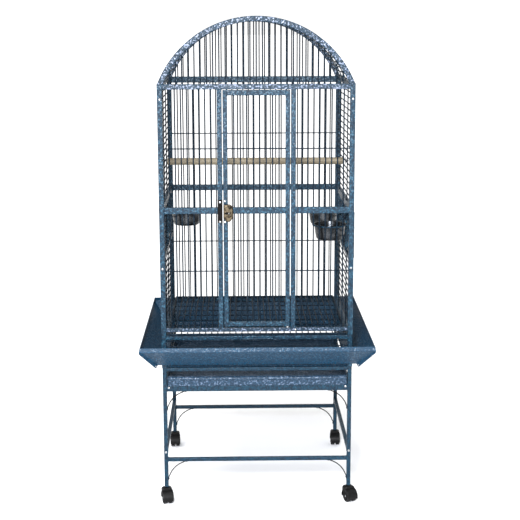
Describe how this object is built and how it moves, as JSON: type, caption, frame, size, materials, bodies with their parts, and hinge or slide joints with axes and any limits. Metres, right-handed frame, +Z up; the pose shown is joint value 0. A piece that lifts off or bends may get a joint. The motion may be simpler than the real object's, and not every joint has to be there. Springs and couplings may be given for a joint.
{
  "type": "bird cage on stand",
  "caption": "Dome-top parrot cage on a castered stand, with hinged front door and lock, swing-out feeder doors with lift-out bowls, perch, seed skirt, pull-out grille and tray.",
  "frame": {"origin": "centre of the footprint on the floor, under the casters", "axes": "+Z up, -Y is the front with the door, +X is the right-hand side seen from the front"},
  "size_m": [0.7438, 0.7192, 1.561],
  "materials": {
    "hammertone_blue": "hammertone powder coat",
    "zinc_plate": "zinc plated",
    "lock_brass": "satin plated",
    "keeper_black": "satin black",
    "bowl_steel": "polished stainless",
    "perch_wood": "sanded hardwood",
    "caster_nylon": "moulded black"
  },
  "bodies": {
    "root": {"stand_front_frame": "hammertone_blue", "stand_rear_frame": "hammertone_blue", "stand_side_rails": "hammertone_blue", "corner_scrolls": "hammertone_blue", "corner_posts": "hammertone_blue", "base_rails": "hammertone_blue", "skirt_front": "hammertone_blue", "skirt_rear": "hammertone_blue", "skirt_left": "hammertone_blue", "skirt_right": "hammertone_blue", "front_rails": "hammertone_blue", "front_left_panel": "hammertone_blue", "front_right_panel": "hammertone_blue", "rear_panel": "hammertone_blue", "left_lower_panel": "hammertone_blue", "left_feeder_panel": "hammertone_blue", "left_upper_panel": "hammertone_blue", "right_lower_panel": "hammertone_blue", "right_feeder_panel": "hammertone_blue", "right_upper_panel": "hammertone_blue", "front_arch": "hammertone_blue", "rear_arch": "hammertone_blue", "dome_bars": "hammertone_blue", "dome_hoops": "hammertone_blue", "feeder_catches": "hammertone_blue", "frame_screws": "zinc_plate", "feeder_pins": "zinc_plate", "perch_fixings": "zinc_plate", "lock_keeper": "keeper_black", "perch": "perch_wood", "leg_sockets": "caster_nylon"},
    "front_door": {"front_door": "hammertone_blue", "door_pins": "zinc_plate", "lock_case": "lock_brass", "lock_screws": "zinc_plate"},
    "lock_bolt": {"lock_bolt": "zinc_plate"},
    "tray": {"tray": "hammertone_blue"},
    "floor_grille": {"floor_grille": "hammertone_blue", "grille_handle": "hammertone_blue"},
    "feeder_left": {"feeder_door_left": "hammertone_blue", "bowl_ring_left": "hammertone_blue"},
    "bowl_left": {"bowl_left": "bowl_steel"},
    "feeder_right": {"feeder_door_right": "hammertone_blue", "bowl_ring_right": "hammertone_blue"},
    "bowl_right": {"bowl_right": "bowl_steel"},
    "feeder_front": {"feeder_door_front": "hammertone_blue", "bowl_ring_front": "hammertone_blue"},
    "bowl_front": {"bowl_front": "bowl_steel"},
    "caster_fl": {"caster_hood_fl": "caster_nylon", "caster_axle_fl": "zinc_plate"},
    "wheels_fl": {"caster_wheels_fl": "caster_nylon"},
    "caster_fr": {"caster_hood_fr": "caster_nylon", "caster_axle_fr": "zinc_plate"},
    "wheels_fr": {"caster_wheels_fr": "caster_nylon"},
    "caster_rl": {"caster_hood_rl": "caster_nylon", "caster_axle_rl": "zinc_plate"},
    "wheels_rl": {"caster_wheels_rl": "caster_nylon"},
    "caster_rr": {"caster_hood_rr": "caster_nylon", "caster_axle_rr": "zinc_plate"},
    "wheels_rr": {"caster_wheels_rr": "caster_nylon"}
  },
  "joints": [
    {"name": "front_door_hinge", "type": "hinge", "parent": "root", "child": "front_door", "pos_m": [0.097, -0.2715, 0.96], "axis": [0, 0, 1], "range_deg": [0, 110]},
    {"name": "lock_bolt_slide", "type": "slide", "parent": "front_door", "child": "lock_bolt", "axis": [-1, 0, 0], "range_m": [0, 0.01]},
    {"name": "tray_slide", "type": "slide", "parent": "root", "child": "tray", "axis": [0, -1, 0], "range_m": [0, 0.48]},
    {"name": "grille_slide", "type": "slide", "parent": "root", "child": "floor_grille", "axis": [0, -1, 0], "range_m": [0, 0.48]},
    {"name": "feeder_left_hinge", "type": "hinge", "parent": "root", "child": "feeder_left", "pos_m": [-0.302, 0.043, 0.88], "axis": [0, 0, 1], "range_deg": [0, 105]},
    {"name": "bowl_left_lift", "type": "slide", "parent": "feeder_left", "child": "bowl_left", "axis": [0, 0, 1], "range_m": [0, 0.06]},
    {"name": "feeder_right_hinge", "type": "hinge", "parent": "root", "child": "feeder_right", "pos_m": [0.302, 0.043, 0.88], "axis": [0, 0, -1], "range_deg": [0, 105]},
    {"name": "bowl_right_lift", "type": "slide", "parent": "feeder_right", "child": "bowl_right", "axis": [0, 0, 1], "range_m": [0, 0.06]},
    {"name": "feeder_front_hinge", "type": "hinge", "parent": "root", "child": "feeder_front", "pos_m": [0.302, -0.255, 0.88], "axis": [0, 0, -1], "range_deg": [0, 105]},
    {"name": "bowl_front_lift", "type": "slide", "parent": "feeder_front", "child": "bowl_front", "axis": [0, 0, 1], "range_m": [0, 0.06]},
    {"name": "caster_fl_swivel", "type": "hinge", "parent": "root", "child": "caster_fl", "pos_m": [-0.297, -0.2715, 0.05], "axis": [0, 0, 1], "continuous": true},
    {"name": "wheels_fl_roll", "type": "hinge", "parent": "caster_fl", "child": "wheels_fl", "pos_m": [-0.29492, -0.28128, 0.02], "axis": [0.9781, 0.2079, 0], "continuous": true},
    {"name": "caster_fr_swivel", "type": "hinge", "parent": "root", "child": "caster_fr", "pos_m": [0.297, -0.2715, 0.05], "axis": [0, 0, 1], "continuous": true},
    {"name": "wheels_fr_roll", "type": "hinge", "parent": "caster_fr", "child": "wheels_fr", "pos_m": [0.30107, -0.28064, 0.02], "axis": [0.9135, 0.4067, 0], "continuous": true},
    {"name": "caster_rl_swivel", "type": "hinge", "parent": "root", "child": "caster_rl", "pos_m": [-0.297, 0.2715, 0.05], "axis": [0, 0, 1], "continuous": true},
    {"name": "wheels_rl_roll", "type": "hinge", "parent": "caster_rl", "child": "wheels_rl", "pos_m": [-0.2963, 0.26152, 0.02], "axis": [0.9976, 0.0698, 0], "continuous": true},
    {"name": "caster_rr_swivel", "type": "hinge", "parent": "root", "child": "caster_rr", "pos_m": [0.297, 0.2715, 0.05], "axis": [0, 0, 1], "continuous": true},
    {"name": "wheels_rr_roll", "type": "hinge", "parent": "caster_rr", "child": "wheels_rr", "pos_m": [0.29665, 0.26151, 0.02], "axis": [0.9994, -0.0349, 0], "continuous": true}
  ]
}
